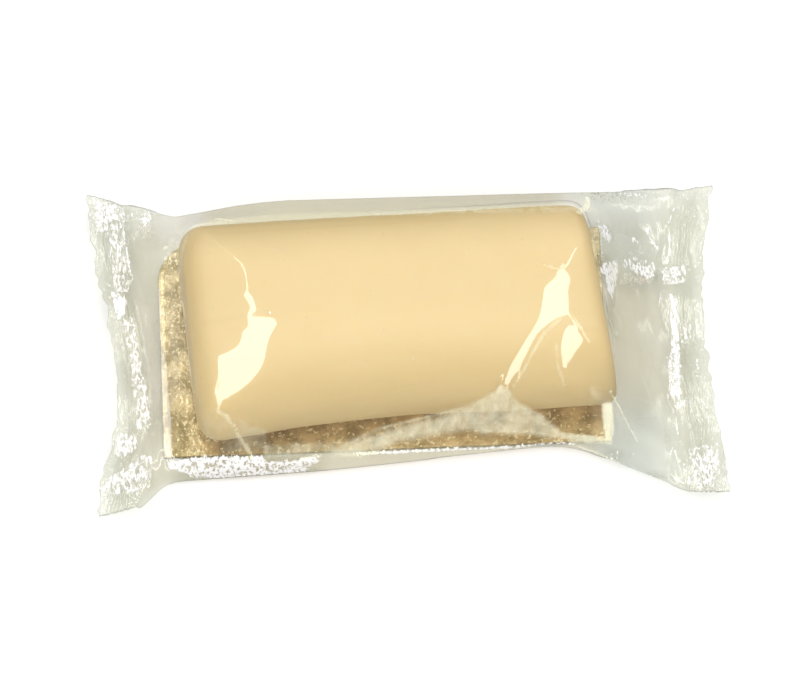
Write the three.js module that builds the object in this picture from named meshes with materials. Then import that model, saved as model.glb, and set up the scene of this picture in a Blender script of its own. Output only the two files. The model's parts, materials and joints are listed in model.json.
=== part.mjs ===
// A marzipan log on a gold card, sealed in a clear flow-wrapped bag.
// The bag is one closed solid. Its upper ply stretches over the log, its lower ply runs under the card,
// and the two meet in a loose fold along the front and the back and in a crimped seal at each end.
// Millimetres: X runs along the log, Y from front to back, Z up, with the origin under the middle of the bag.
import * as THREE from "three";

// The card, and the space that film and card take up under the log
const CARD = { length: 95, width: 50, middle: { x: -5, y: 2.5 } };
const LOG_BASE = 1.3;

// The log: a flattened roll, a little wider at its left end, with ends that are cut askew
const LOG = {
  length: 88.4,
  height: 29.7,
  width: 45.2,
  widest: 0.4,
  taper: -0.043,
  middle: { x: -2.7, y: 1.9 },
  turn: THREE.MathUtils.degToRad(2),
  skew: { left: 0.03, right: 0.108 },
  rim: 5,
  squareness: 2.2,
};
const FILM_GAP = 0.5;

// How far the film hangs in beyond the log's ends, where 0 is straight, and the share beside each fold where it fades
const SLACK = { hollow: 0.9, fade: 0.25 };

// The folds where the plies meet: x, y and height from the left seal to the right one
const FRONT_FOLD = [
  [-66, -37.6, 5],
  [-58, -35.8, 3],
  [-52, -28.8, 1.2],
  [-18, -27.4, 1],
  [33, -23.6, 1],
  [42, -28.2, 1.6],
  [59, -37.2, 4],
  [66, -37.6, 5],
];
const BACK_FOLD = [
  [-66, 37.6, 5],
  [-48, 29.3, 10],
  [-33, 30.9, 12],
  [40, 30, 12],
  [66, 33.6, 5],
];

// The end seals: strips with ridges pressed along them and a zigzag cut, drawn in between their tips
const SEAL = { width: 7, margin: 1.8, ridges: 4, ridgeHeight: 0.5, thickness: 0.6, tooth: 0.7, height: 5 };
const LEFT_EDGE = { tip: -67, bow: 5.4, deepest: 0.37, spread: 1 };
const RIGHT_EDGE = { tip: 67.19, bow: 3.8, deepest: 0.62, spread: 0.5 };
const RIPPLE = { waves: 3.5, height: 0.9 };

// How finely the plies are divided, across from fold to fold and along between the seals.
// Of the lower ply's columns, a few lie before the card and some rise behind it.
// The upper ply is pulled tight over finer rows and columns than are kept.
const COLUMNS = 46;
const BEFORE_CARD = 3;
const BEHIND_CARD = 9;
const BODY_STEPS = 26;
const TIGHT_SAMPLES = 110;
const TIGHT_ROWS = 4;
const UNTOUCHED = -1000;

const { lerp, clamp, smoothstep } = THREE.MathUtils;

// A value of the line through some points at a place x, level beyond the line's two ends
function valueAlong(points, x, index) {
  const next = points.findIndex((point) => point[0] >= x);
  if (next <= 0) {
    return points.at(next)[index];
  }
  const [from, to] = [points[next - 1], points[next]];
  return lerp(from[index], to[index], (x - from[0]) / (to[0] - from[0]));
}

function shares(count) {
  return Array.from({ length: count + 1 }, (_, k) => k / count);
}

// How far a seal's edge is drawn in at a share t of the way from the front fold to the back one
function drawnIn(edge, t) {
  const half = t < edge.deepest ? edge.deepest : 1 - edge.deepest;
  const bell = (1 + Math.cos((Math.PI * (t - edge.deepest)) / half)) / 2;
  return edge.bow * bell ** edge.spread;
}

function sealHeight(t) {
  return SEAL.height + RIPPLE.height * Math.sin(2 * Math.PI * RIPPLE.waves * t) * Math.sin(Math.PI * t);
}

// Half the seal's thickness, which runs out at both folds
function halfSkin(t) {
  return (SEAL.thickness / 2) * Math.sin(Math.PI * clamp(t, 0, 1)) ** 0.3;
}

// A place by the log's own directions: across it, and along it from its middle as if its ends were square
function placeOnLog(x, y) {
  const dx = x - LOG.middle.x;
  const dy = y - LOG.middle.y;
  const across = dy * Math.cos(LOG.turn) - dx * Math.sin(LOG.turn);
  const along = dx * Math.cos(LOG.turn) + dy * Math.sin(LOG.turn);
  const skew = lerp(LOG.skew.left, LOG.skew.right, clamp(along / LOG.length + 0.5, 0, 1));
  return { across, station: along + skew * across };
}

// Height of the film where it lies on the log, or a very low value beside the log
function heightOnLog(x, y) {
  const { across, station } = placeOnLog(x, y);
  const half = LOG.length / 2;
  const pastRim = Math.max(0, Math.abs(station) - (half - LOG.rim)) / LOG.rim;
  if (pastRim >= 1) {
    return UNTOUCHED;
  }
  const inset = LOG.rim * (1 - Math.sqrt(1 - pastRim ** 2));
  const halfWidth = (LOG.width / 2) * (1 + (LOG.taper * station) / half) - inset;
  const side = Math.abs(across) / halfWidth;
  if (side >= 1) {
    return UNTOUCHED;
  }
  const belt = LOG.widest * LOG.height;
  const crown = (LOG.height - belt - inset) * (1 - side ** LOG.squareness) ** (1 / LOG.squareness);
  return LOG_BASE + belt + crown + FILM_GAP;
}

// Heights of a film pulled tight over a row of points: their upper hull, read back at each point
function pulledTight(places, heights) {
  const hull = [];
  places.forEach((place, i) => {
    const next = [place, heights[i]];
    while (hull.length > 1) {
      const [[ax, az], [bx, bz]] = hull.slice(-2);
      if ((bx - ax) * (next[1] - az) < (bz - az) * (next[0] - ax)) {
        break;
      }
      hull.pop();
    }
    hull.push(next);
  });
  return places.map((place) => valueAlong(hull, place, 1));
}

// The lines where the plies leave the seals, at a share t of the way from front to back
function innerLeft(t) {
  return LEFT_EDGE.tip + drawnIn(LEFT_EDGE, t) + SEAL.width;
}

function innerRight(t) {
  return RIGHT_EDGE.tip - drawnIn(RIGHT_EDGE, t) - SEAL.width;
}

// Height of the tight film, let down where it hangs in between the log's end and the seal
function hungIn({ x, y }, t, height) {
  const { station } = placeOnLog(x, y);
  const past = Math.max(0, Math.abs(station) - LOG.length / 2);
  const ahead = station < 0 ? x - innerLeft(t) : innerRight(t) - x;
  const rise = Math.max(0, height - sealHeight(t));
  const kept = (1 - past / (past + ahead)) ** SLACK.hollow;
  return height - rise * (1 - kept) * smoothstep(Math.min(t, 1 - t), 0, SLACK.fade);
}

function placeBetweenFolds(x, t) {
  return lerp(valueAlong(FRONT_FOLD, x, 1), valueAlong(BACK_FOLD, x, 1), t);
}

function foldHeight(x, t) {
  return valueAlong(t < 0.5 ? FRONT_FOLD : BACK_FOLD, x, 2);
}

// Stations between the seals, closer together towards the seals
function bodyStations(steps) {
  return shares(steps).map((share) => lerp(share, (1 - Math.cos(Math.PI * share)) / 2, 0.6));
}

// The upper ply between the seals: pulled tight across and along, hung in at its ends, and divided evenly across
function upperRows() {
  const across = shares(TIGHT_SAMPLES);
  const stations = bodyStations(BODY_STEPS * TIGHT_ROWS);
  const last = stations.length - 1;
  const plan = stations.map((station) =>
    across.map((t) => {
      const x = lerp(innerLeft(t), innerRight(t), station);
      return { x, y: placeBetweenFolds(x, t) };
    }),
  );
  const heights = plan.map((row, i) =>
    row.map(({ x, y }, j) => {
      if (i === 0 || i === last) {
        return sealHeight(across[j]);
      }
      return j === 0 || j === TIGHT_SAMPLES ? foldHeight(x, across[j]) : heightOnLog(x, y);
    }),
  );
  for (let pass = 0; pass < 3; pass += 1) {
    for (let i = 1; i < last; i += 1) {
      heights[i] = pulledTight(plan[i].map((point) => point.y), heights[i]);
    }
    for (let j = 1; j < TIGHT_SAMPLES; j += 1) {
      const column = pulledTight(plan.map((row) => row[j].x), heights.map((row) => row[j]));
      column.forEach((height, i) => {
        heights[i][j] = height;
      });
    }
  }
  const lines = plan.map((row, i) =>
    row.map(({ x, y }, j) => new THREE.Vector3(x, y, hungIn({ x, y }, across[j], heights[i][j]))),
  );
  const kept = lines.filter((line, i) => i % TIGHT_ROWS === 0);
  return kept.map((line) => new THREE.CatmullRomCurve3(line).getSpacedPoints(COLUMNS));
}

// The lower ply between the seals: flat under the card, with columns along its edges, and rising beyond it
function lowerRows() {
  const cardFront = CARD.middle.y - CARD.width / 2;
  const cardBack = CARD.middle.y + CARD.width / 2;
  const cardLeft = CARD.middle.x - CARD.length / 2;
  const cardRight = CARD.middle.x + CARD.length / 2;
  const afterCard = COLUMNS - BEHIND_CARD;
  return bodyStations(BODY_STEPS).map((station) =>
    shares(COLUMNS).map((t, j) => {
      const x = lerp(innerLeft(t), innerRight(t), station);
      const pastLeft = (cardLeft - x) / (cardLeft - innerLeft(t));
      const pastRight = (x - cardRight) / (innerRight(t) - cardRight);
      const past = clamp(Math.max(pastLeft, pastRight), 0, 1);
      const before = Math.max(0, 1 - j / BEFORE_CARD);
      const behind = Math.max(0, (j - afterCard) / BEHIND_CARD);
      const onCard = clamp((j - BEFORE_CARD) / (afterCard - BEFORE_CARD), 0, 1);
      let y = lerp(cardFront, cardBack, onCard);
      y = lerp(y, valueAlong(FRONT_FOLD, x, 1), before);
      y = lerp(y, valueAlong(BACK_FOLD, x, 1), behind);
      const rise = foldHeight(x, t) * Math.max(before, behind);
      const height = lerp(rise, sealHeight(t), past);
      return new THREE.Vector3(x, lerp(y, placeBetweenFolds(x, t), past), height);
    }),
  );
}

// Both plies between the seals, kept apart by the seal's thickness where they come together
function bodyRows() {
  const lower = lowerRows();
  return upperRows().map((row, i) =>
    row.map((top, j) => {
      const low = lower[i][j];
      const closed = 1 - clamp((top.z - low.z) / 6, 0, 1);
      const skin = halfSkin(j / COLUMNS) * closed;
      top.z += skin;
      low.z = Math.max(0, low.z - skin);
      return { top, low };
    }),
  );
}

// One seal from its cut edge inwards: a plain margin, then the pressed ridges
function sealRows(inner, outwards) {
  const steps = 2 * SEAL.ridges;
  const ridges = shares(steps).slice(0, -1);
  const stations = [0, ...ridges.map((share) => lerp(SEAL.margin, SEAL.width, share))];
  return stations.map((fromEdge, k) =>
    shares(COLUMNS).map((t, j) => {
      const tooth = k === 0 ? ((j % 2) - 0.5) * SEAL.tooth : 0;
      const x = inner(t) + outwards * (SEAL.width - fromEdge + tooth);
      const y = placeBetweenFolds(x, t);
      const ridge = k < 2 ? 0 : (k % 2) - 0.5;
      const middle = sealHeight(t) + ridge * SEAL.ridgeHeight;
      const skin = halfSkin(t);
      return { top: new THREE.Vector3(x, y, middle + skin), low: new THREE.Vector3(x, y, middle - skin) };
    }),
  );
}

// The closed surface: both plies, joined along the folds and across the two cut edges
function bagGeometry(rows) {
  const points = [];
  const addPoint = (point) => points.push(point) - 1;
  const upper = rows.map((row) => row.map(({ top }) => addPoint(top)));
  const lower = rows.map((row, i) => row.map(({ low }, j) => (j % COLUMNS === 0 ? upper[i][j] : addPoint(low))));
  const faces = [];
  const addFace = (a, b, c) => {
    if (a !== b && b !== c && c !== a) {
      faces.push(a, b, c);
    }
  };
  const addQuad = (a, b, c, d) => {
    addFace(a, b, c);
    addFace(a, c, d);
  };
  const last = rows.length - 1;
  for (let j = 0; j < COLUMNS; j += 1) {
    for (let i = 0; i < last; i += 1) {
      addQuad(upper[i][j], upper[i + 1][j], upper[i + 1][j + 1], upper[i][j + 1]);
      addQuad(lower[i][j + 1], lower[i + 1][j + 1], lower[i + 1][j], lower[i][j]);
    }
    addQuad(upper[0][j], upper[0][j + 1], lower[0][j + 1], lower[0][j]);
    addQuad(lower[last][j], lower[last][j + 1], upper[last][j + 1], upper[last][j]);
  }
  const geometry = new THREE.BufferGeometry().setFromPoints(points);
  geometry.setIndex(faces);
  geometry.computeVertexNormals();
  return geometry;
}

function sealedBag() {
  const left = sealRows(innerLeft, -1);
  const right = sealRows(innerRight, 1).reverse();
  const material = new THREE.MeshStandardMaterial({ color: 0xe9dcb4, roughness: 0.18, metalness: 0 });
  const bag = new THREE.Mesh(bagGeometry([...left, ...bodyRows(), ...right]), material);
  bag.name = "sealed_bag";
  return bag;
}

const wrappedLog = new THREE.Group();
wrappedLog.add(sealedBag());

export default wrappedLog;
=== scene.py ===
"""A marzipan log on a gold card, sealed in a clear flow-wrapped bag.

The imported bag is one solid. Here it is replaced by the film, the log and the card that are seen through it.
"""

import json
import math

import bpy
import numpy as np
from mathutils import Matrix, Vector

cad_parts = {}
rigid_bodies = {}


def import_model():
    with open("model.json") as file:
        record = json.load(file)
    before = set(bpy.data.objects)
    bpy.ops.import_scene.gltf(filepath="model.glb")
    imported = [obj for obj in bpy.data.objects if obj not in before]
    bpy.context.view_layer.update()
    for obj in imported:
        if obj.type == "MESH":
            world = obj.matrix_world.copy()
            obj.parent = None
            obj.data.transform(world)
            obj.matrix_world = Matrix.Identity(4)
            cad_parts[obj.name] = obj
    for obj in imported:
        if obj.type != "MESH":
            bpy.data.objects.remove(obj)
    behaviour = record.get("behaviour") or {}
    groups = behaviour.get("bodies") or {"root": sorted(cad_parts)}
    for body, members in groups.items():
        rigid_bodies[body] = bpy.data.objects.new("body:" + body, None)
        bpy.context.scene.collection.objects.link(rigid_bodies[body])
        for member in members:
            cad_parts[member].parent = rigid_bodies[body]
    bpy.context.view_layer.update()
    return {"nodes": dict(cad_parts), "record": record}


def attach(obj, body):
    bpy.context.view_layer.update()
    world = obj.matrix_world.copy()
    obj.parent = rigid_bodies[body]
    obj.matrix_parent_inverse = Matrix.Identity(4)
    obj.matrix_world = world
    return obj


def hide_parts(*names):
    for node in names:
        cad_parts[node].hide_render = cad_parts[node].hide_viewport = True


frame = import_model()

MM = 0.001
BAG = "sealed_bag"

# The card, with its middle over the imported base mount
CARD_MIDDLE = Vector(frame["record"]["mounts"][0]["pos_m"]) + Vector((0, -0.4 * MM, 0))
CARD_LENGTH = 95 * MM
CARD_WIDTH = 50 * MM
CARD_THICKNESS = 0.9 * MM
CARD_LIFT = 0.25 * MM
CARD_ROUND_CORNER = 9 * MM
CARD_RIM = 0.9 * MM
CARD_RIM_FALL = 0.2 * MM
CARD_FRONT_GLINT = 8 * MM
CARD_EDGE_ROUND = 0.1 * MM
CARD_SMOOTH_BELOW = math.radians(15)

# The log: a block rounded into a flattened roll, wider at its left end and lying a little askew
LOG_MIDDLE = CARD_MIDDLE + Vector((2.3 * MM, -0.2 * MM, 0))
LOG_LENGTH = 89 * MM
LOG_HEIGHT = 30 * MM
LOG_WIDTH_LEFT = 47.7 * MM
LOG_WIDTH_RIGHT = 43.9 * MM
LOG_TURN = math.radians(2)
LOG_SKEW_LEFT = 0.055
LOG_SKEW_RIGHT = 0.108
LOG_TOP_ROUND = 17.3 * MM
LOG_BASE_ROUND = 11 * MM
LOG_RIM_LEFT = 5.4 * MM
LOG_RIM_RIGHT = 3.4 * MM
LOG_FRONT_DRAWN_IN = (-0.9 * MM, 0.9 * MM, 1.5 * MM, 0.2 * MM, 0.1 * MM)
LOG_FLOOR = CARD_LIFT + CARD_THICKNESS
LOG_FLAT_BELOW = 0.4 * MM
LOG_SKIN_STEP = 0.7 * MM
LOG_DENTS = (("hand_rolled_lumps", 24 * MM, 0.6 * MM), ("small_dents", 6 * MM, 0.12 * MM))
LOG_CORNER_SHIFTS = {
    (-1, 1, 1): Vector((1.4, -0.7, 0)) * MM,
    (1, -1, 1): Vector((-1.0, 0, 0)) * MM,
    (1, -1, -1): Vector((0.1, 0, 0)) * MM,
    (1, 1, 1): Vector((-0.5, 0, 0)) * MM,
}

# The film: its tints, how much it mirrors face on and at a slant, and how close it lies to what it wraps
FILM_TINT = (0.98, 0.979, 0.937, 1)
SEAL_TINT = (0.88, 0.885, 0.83, 1)
# Painted shade, greyer, for the right end of the film
SHADE_TINT = (0.87, 0.895, 0.92, 1)
# A painted reflection of the log, darker and warmer, for the film's back
PAINTED_BACK_REFLECTION = (0.955, 0.94, 0.87, 1)
# The film's mirror colour, which is also the white of its painted glints and haze, and the cream of the
# painted haze over the log
WHITE_FILM = (1, 0.985, 0.965, 1)
PAINTED_HIGHLIGHT_CREAM = (0.98, 0.96, 0.72, 1)
FILM_GLOSS = 0.09
SLANT_GLOSS = 0.8
SLANT_POWER = 5
CLEAR_ROUGHNESS = 0.06
WHITE_ROUGHNESS = 0.4
FILM_GAP = 0.3 * MM
STEEP_SIDE = 4
PATH_STEP = 0.4 * MM
STREAK_HEIGHT = 0.15 * MM

# The net of the film: edges that are cut again, and the angle above which an edge stays sharp
NET_LONG_EDGE = 0.9 * MM
NET_LOWEST = 3 * MM
NET_SHARP = math.radians(75)

# Painted glints of the film, as white specks and blots: what patches and crumples add to the specks, and the
# glint patches to the blots
PATCH_SHARE = 0.25
CRUMPLE_SHARE = 0.15
GLINT_BLOT_SHARE = 0.32

# Where the film changes, in mm: a pair runs from nothing at its first place to all at its second
SMOOTHED_TOP = (14, 20)
FACETS_REACH = (58, 46)
LEFT_END = (46, 53)
RIGHT_END = (43, 50)
ENDS_HEIGHT = (0, 4)
CUT_ENDS = (57, 61)
CRIMPED_ENDS = (56, 59)
PAINTED_WARMTH_REACH = (50, 46)
QUIET_ALONG = (55, 53)
QUIET_ACROSS = (-14, -22)
SLACK_ALONG = (-34, -24)
SLACK_ACROSS = (18, 26)
SHADE_BEGINS = (36, 42)
SHADE_ENDS = (58, 50)
SHADE_SIDES = (11, 20)
SHADE_MIDDLE = -1
BACK_STRIP = (18, 21)
BACK_STRIP_ENDS = (40, 36)
BACK_STRIP_MIDDLE = -4
UPPER_PLY = 1.5

# How much the film changes there
BACK_SLACK = 0.55 * MM
SMOOTHED_TOP_TIMES = 12
QUIET_TIMES = 25
QUIET_SMOOTHED_FROM = 40
QUIET_DULL_FROM = 38
QUIET_DULLNESS = 0.4
CRIMPED_CRINKLE = 0.9
LOOSE_CRINKLE = 0.35
SHADE_IN_FRONT = 0.75
SHADE_BEHIND = 0.5
# How strongly the painted haze turns cream
PAINTED_WARMTH_GAIN = 4
LOOSE_WRINKLES = (("loose_wrinkles", 7 * MM, 0.9 * MM, 1.5), ("fine_wrinkles", 2.2 * MM, 0.35 * MM, 2))
CUT_END_WAVES = ("wavy_cut_ends", 4 * MM, 2.2 * MM, 1)

# Facets where the film and the log slope down towards an end, from above in mm.
# Slopes are given by y, and outlines as rows of y with the facet's start and end along the log.
LEFT_GENTLE = (
    (-21, 0.36), (-18.5, 0.405), (-15.9, 0.335), (-13.2, 0.277), (-11.4, 0.25), (-9.4, 0.207), (-7.2, 0.168),
    (-5.5, 0.172), (-3, 0.14),
)
LEFT_STEEP = ((-24, 0.55), (-18, 0.55), (-15, 0.5), (-12, 0.44), (-8, 0.35), (-3, 0.31))
RIGHT_GENTLE = ((-19, 0.222), (5, 0.118))
RIGHT_STEEP = ((-19, 0.36), (-8, 0.31), (4.8, 0.3))
LEFT_LEAF = (
    (1.7, -33.5, -33.5), (0.9, -32.3, -34.7), (-1.4, -31.6, -33.4), (-3.6, -31.4, -33.4), (-4.4, -28, -33.5),
    (-6, -27, -34), (-7, -27.3, -35.2), (-9, -28.7, -35.4), (-10.2, -29.1, -36), (-11, -29.3, -39.2),
    (-12.3, -29.6, -42), (-14.2, -30, -42.2), (-16.1, -31.5, -42.4), (-17.5, -33, -42.9),
    (-19, -35.4, -43.8), (-19.9, -37, -43.8), (-21.6, -40, -41.2),
)
RIGHT_LEAF = (
    (5.2, 33, 33), (4.7, 31.9, 34), (3.7, 31.8, 34.2), (2.3, 31.3, 34.7), (1.1, 30.1, 34.7),
    (-0.2, 28.7, 34.4), (-3.3, 28.3, 34.4), (-6, 27.6, 33.9), (-7.1, 27.2, 32), (-8.8, 26.1, 28.7),
    (-10.7, 24.6, 26.8), (-13.5, 22.5, 24.9), (-15.5, 20.9, 23.4), (-17.5, 19.2, 21.8),
    (-18.9, 18.4, 20.6), (-20, 19.4, 19.4),
)
RIGHT_DROP = (
    (-8.2, 34, 34), (-9.1, 32.7, 35.4), (-11.1, 32, 37.1), (-13, 31.8, 35.4), (-15.1, 32.4, 34.2),
    (-16.9, 33, 33),
)
LEFT_FALL = (
    (22, -46, -60), (20.3, -43.4, -60), (13, -39, -60), (8.4, -35, -60), (6.9, -34.1, -60), (4.6, -33.6, -60),
    *((y, end, -60) for y, start, end in LEFT_LEAF), (-24, -46, -60),
)
RIGHT_FALL = (
    (20, 45, 60), (8, 36, 60), *((y, end, 60) for y, start, end in RIGHT_LEAF[1:8]), (-7.1, 34.6, 60),
    *((y, end, 60) for y, start, end in RIGHT_DROP[1:]), (-24, 34, 60),
)
END_FACETS = (
    (-1, LEFT_GENTLE, LEFT_LEAF),
    (-1, LEFT_STEEP, LEFT_FALL),
    (1, RIGHT_GENTLE, RIGHT_LEAF),
    (1, RIGHT_GENTLE, RIGHT_DROP),
    (1, RIGHT_STEEP, RIGHT_FALL),
)

# How far the bends and the outlines of the facets are softened, in mm
LOG_SOFTNESS = (2, 3)
FILM_SOFTNESS = (0.35, 0.5)

# The tail of the right facet lifts off the log towards the veil's tip, from above in mm
TAIL_TOP = (22.2, -15.3)
TAIL_TIP = (19.4, -19.2)
TAIL_HALF_WIDTH = 1.9
TAIL_CURVE = 0.15
TAIL_CURL = 0.06
TAIL_CURL_FROM = 1.7
TAIL_EDGE = 0.7
TAIL_RUN_OUT = (2.8, 0.3)
TAIL_LOWEST = 3

# The lower lobe of the left facet stands off the log's round corner: rows of y, end along the log and curve
LOBE_START = -38.6
LOBE_EDGE = 1.2
LOBE_LOWEST = 12
LOBE = (
    (-9.5, -39, 0), (-11.7, -40.4, 0.05), (-13, -40.4, 0.068), (-15.1, -40.4, 0.097), (-16.4, -40.9, 0.122),
    (-18.4, -41.6, 0.145), (-19.6, -41.5, 0.098), (-20.7, -41.2, 0.09), (-21.8, -40.4, 0.06), (-23.5, -40, 0),
)

# Folds and creases of the film, from above in mm: path, height, half width, steep side, whiteness.
# The whiteness is painted haze: highlights along folds, and painted light over the log's darker back edge and
# ends.
CREASES = (
    (((19.3, -19.3), (12.5, -20.4), (4, -21.5), (-6.6, -23), (-15.2, -25.3)), 0.15, 2, (0, 1), 0.4),
    (((19.3, -19.3), (23.1, -20.7), (28.4, -22.2), (32.5, -23.6)), 0.15, 1.2, (0.4, 1), 0.5),
    (((15.9, -22.9), (25.3, -22.8), (29.4, -23.1), (33, -23.7), (38.2, -26), (44, -29)),
     0.2, 0.7, (0, 1), 0.75),
    (((29.3, 4.9), (30.9, 4.1), (32.3, 4.1), (33.4, 4.6)), 0.1, 0.6, (0, 1), 0.8),
    (((31.9, -7.3), (28.7, -9.7), (26.2, -12.9), (24, -16), (21.6, -18.4)), 0, 0.9, (0, 0), 0.4),
    (((30.9, -12.1), (31.2, -15.4), (32.4, -17.9)), 0, 0.8, (0, 0), 0.35),
    (((34.7, -6.5), (37.9, -11.3)), 0, 0.6, (0, 0), 0.4),
    (((42.4, -18.3), (44.5, -21.2), (46.2, -23.9), (47.9, -26.4)), 0.2, 0.5, (1, 0), 0.7),
    (((-40.4, -21.9), (-38.8, -22.4), (-36.7, -23.5), (-35.6, -24.5), (-33.7, -26.2)),
     0.1, 1.5, (1, 0), 0.55),
    (((-43.8, 20.1), (-40.3, 14.5), (-35, 8.2)), 0, 0.5, (0, 0), 0.2),
    (((-39.3, 23.6), (-36.2, 21.3)), 0.1, 0.6, (0, 0), 0.95),
    (((39.8, 27.5), (39.8, 25.3), (38.4, 21), (37.3, 18.2)), 0.1, 0.9, (0, 0), 0.8),
    (((-52.2, 12), (-52.1, -5), (-51.9, -22.3)), 0.1, 0.7, (0, 0), 0.65),
    (((-47.6, 11), (-46.8, 16), (-44, 20), (-39, 22)), 0, 3.5, (0, 0), 0.3),
    (((48.2, 6), (48.6, 1.4), (50, -4.1)), 0.1, 0.5, (0, 0), 0.25),
    (((48.7, -9.7), (51.5, -17.1)), 0.1, 0.6, (0, 0), 0.2),
    (((-43, 20.6), (-23.9, 21.3), (11.1, 20.5), (36.5, 19.7)), 0, 4.5, (0, 0), 0.3),
    (((-47, 14.8), (-47.3, 6.3), (-46.2, -6.6), (-44.7, -18.7), (-43.1, -23.3)), 0, 4, (0, 0), 0.14),
    (((39.7, 12.7), (40.6, 4.5), (41.4, -3.8), (42.5, -12.9)), 0, 3, (0, 0), 0.14),
)

# Hazy places of the film, from above in mm: outline, soft edge, whiteness. The whiteness is painted haze:
# highlights and reflections on folds of the film, and painted light that lifts the tents.
VEILS = (
    (((19.1, -18.7), (21.6, -19.5), (23.7, -20.4), (27.3, -21.2), (29.8, -22.3), (31.8, -23.3), (25.3, -22.8),
      (15.9, -22.9), (10, -22.6), (11.7, -20.8)), 0.8, 0.45),
    (((19.1, -19.1), (14.4, -20.5), (9.1, -21.6), (3.4, -22.5), (-3.1, -23.5), (-11.3, -24.9), (-17, -25.7),
      (-11.3, -25.6), (-3.1, -24.1), (3.4, -23.2), (9.1, -22.5), (14.4, -21.6)), 1.3, 0.5),
    (((-15, -25.8), (-3.1, -24.1), (3.4, -23.2), (9.1, -22.5), (15.9, -22.9), (29.4, -23.1), (33, -23.9),
      (33, -24.6), (12.4, -24.9), (-5.6, -25.8)), 0.5, 0.04),
    (((-13, -24.9), (-22, -25.2), (-31, -25.3), (-31, -26.3), (-22, -26.1), (-13, -25.7)), 0.8, 0.3),
    (((-40, -23.4), (-36, -22.8), (-31, -23.6), (-31, -25.6), (-40, -25.6)), 1, 0.2),
    (((-43.2, -22), (-41, -21.5), (-38.2, -23.3), (-36.4, -24.4), (-41.5, -24.4), (-43.5, -23.5)), 1.5, 0.16),
    (((40.6, -20.7), (42.3, -20.4), (42.7, -24.3), (42.2, -25.9), (41.2, -25.3), (40.8, -22.8)), 0.4, 0.85),
    (((31.8, -23.2), (34.7, -23.7), (42.2, -25.7), (42.2, -26.1), (36.8, -24.8)), 0.4, 0.7),
    (((-52.3, 4), (-51.7, 2), (-51.3, -10), (-50.8, -18), (-50.9, -25.6), (-52.2, -25.6)), 0.4, 0.45),
    (((-56, 10), (-49, 10), (-48, -14), (-54, -14)), 3, 0.18),
    (((45, 9), (55, 9), (55, -12), (46, -12)), 3, 0.1),
)

# Patches of painted glints, where the film is whitened, from above in mm: outline, soft edge, share that is
# white
PAINTED_GLINT_PATCHES = (
    (((-65.8, 36.8), (-62.6, 35), (-59.4, 33.8), (-59.6, 29.1), (-62.6, 28.7), (-65, 29)), 0.8, 0.76),
    (((-62, 28.6), (-59.8, 29.1), (-58.2, 19.3), (-59.1, 18.6), (-62, 19.8)), 0.6, 0.65),
    (((-62, 19.3), (-58.2, 17.1), (-59, 14.3), (-61.9, 14.5)), 0.6, 0.75),
    (((-62.4, 14.2), (-59.2, 12.1), (-60, 8), (-61.6, 9.1)), 0.5, 1),
    (((-60.2, 7.7), (-58.3, 7.7), (-56.9, -1.4), (-55.6, -9.9), (-55.1, -13.5), (-57.2, -13.6), (-58.3, -6.5),
      (-59.3, 1.8)), 0.5, 0.7),
    (((-57.7, -10.3), (-55.6, -9.9), (-55, -17), (-55.9, -18.5), (-58, -17.5)), 0.6, 0.66),
    (((-63, -22.8), (-62.6, -20), (-61.2, -18.7), (-58.2, -19.5), (-58.5, -22.2), (-61.3, -24.3)), 0.6, 0.74),
    (((-65.8, -32.1), (-64.7, -29.4), (-61.4, -27.2), (-57.5, -24.1), (-54.9, -24.6), (-55.5, -29.7),
      (-58.2, -32.2), (-62, -32.8)), 0.7, 0.62),
    (((-54.1, 31.4), (-53.7, 29.3), (-55.3, 27.1), (-56, 30)), 0.6, 0.7),
    (((55.3, 15), (57.5, 15.3), (60.1, 15.4), (60.3, 11.8), (58.1, 11.1), (55.5, 11.2)), 0.6, 0.75),
    (((56.6, 8.4), (57.9, 7.4), (58.2, 0.5), (57.7, -15.2), (55.8, -15.4), (55.4, -9.4), (56.6, -1.6)),
     0.5, 0.8),
    (((58.7, 2.3), (59.9, 2.1), (59.7, -2.5), (58.7, -2.2)), 0.5, 0.6),
    (((58.7, -27.7), (60.7, -26.8), (64.7, -26.3), (64.9, -30.2), (64, -36.1), (60.6, -36.4), (59.4, -34.6)),
     0.9, 0.66),
    (((56.8, -16.1), (60.6, -16.2), (60.1, -17.7), (56.9, -17.6)), 0.5, 0.55),
    (((61.4, -6.6), (62.4, -6.7), (62.2, -10.9), (61.1, -10.9)), 0.5, 0.5),
    (((41.7, 7.9), (43.1, 9.7), (45.1, 12.5), (45.1, 8.9), (44.1, 4.1), (43.3, 1), (42.7, 2.9), (42.4, 5.9),
      (41.3, 5.5)), 0.4, 1),
    (((45.8, 12.8), (49.7, 16.1), (53.4, 16), (53.8, 14.2), (52.1, 11.5), (50.4, 13.1), (47, 12.1)),
     0.6, 0.7),
    (((41.4, 21), (42.9, 20.5), (44.7, 17.4), (43.7, 15.7), (42.3, 18.3)), 0.4, 0.7),
    (((46.4, 19.9), (48.6, 20.3), (50.8, 20), (50.3, 19)), 0.4, 0.55),
    (((-51.4, -26.4), (-41.7, -26.4), (-31.7, -26.4), (-30.5, -27), (-25.8, -27), (-22.2, -26.5),
      (-19.5, -26.3), (-20.3, -26.9), (-22.3, -27.2), (-22.5, -27.6), (-28, -27.9), (-35.4, -28.1),
      (-42.9, -28.3), (-47.1, -28.2), (-51.2, -27.3)), 0.4, 0.95),
)
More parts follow.
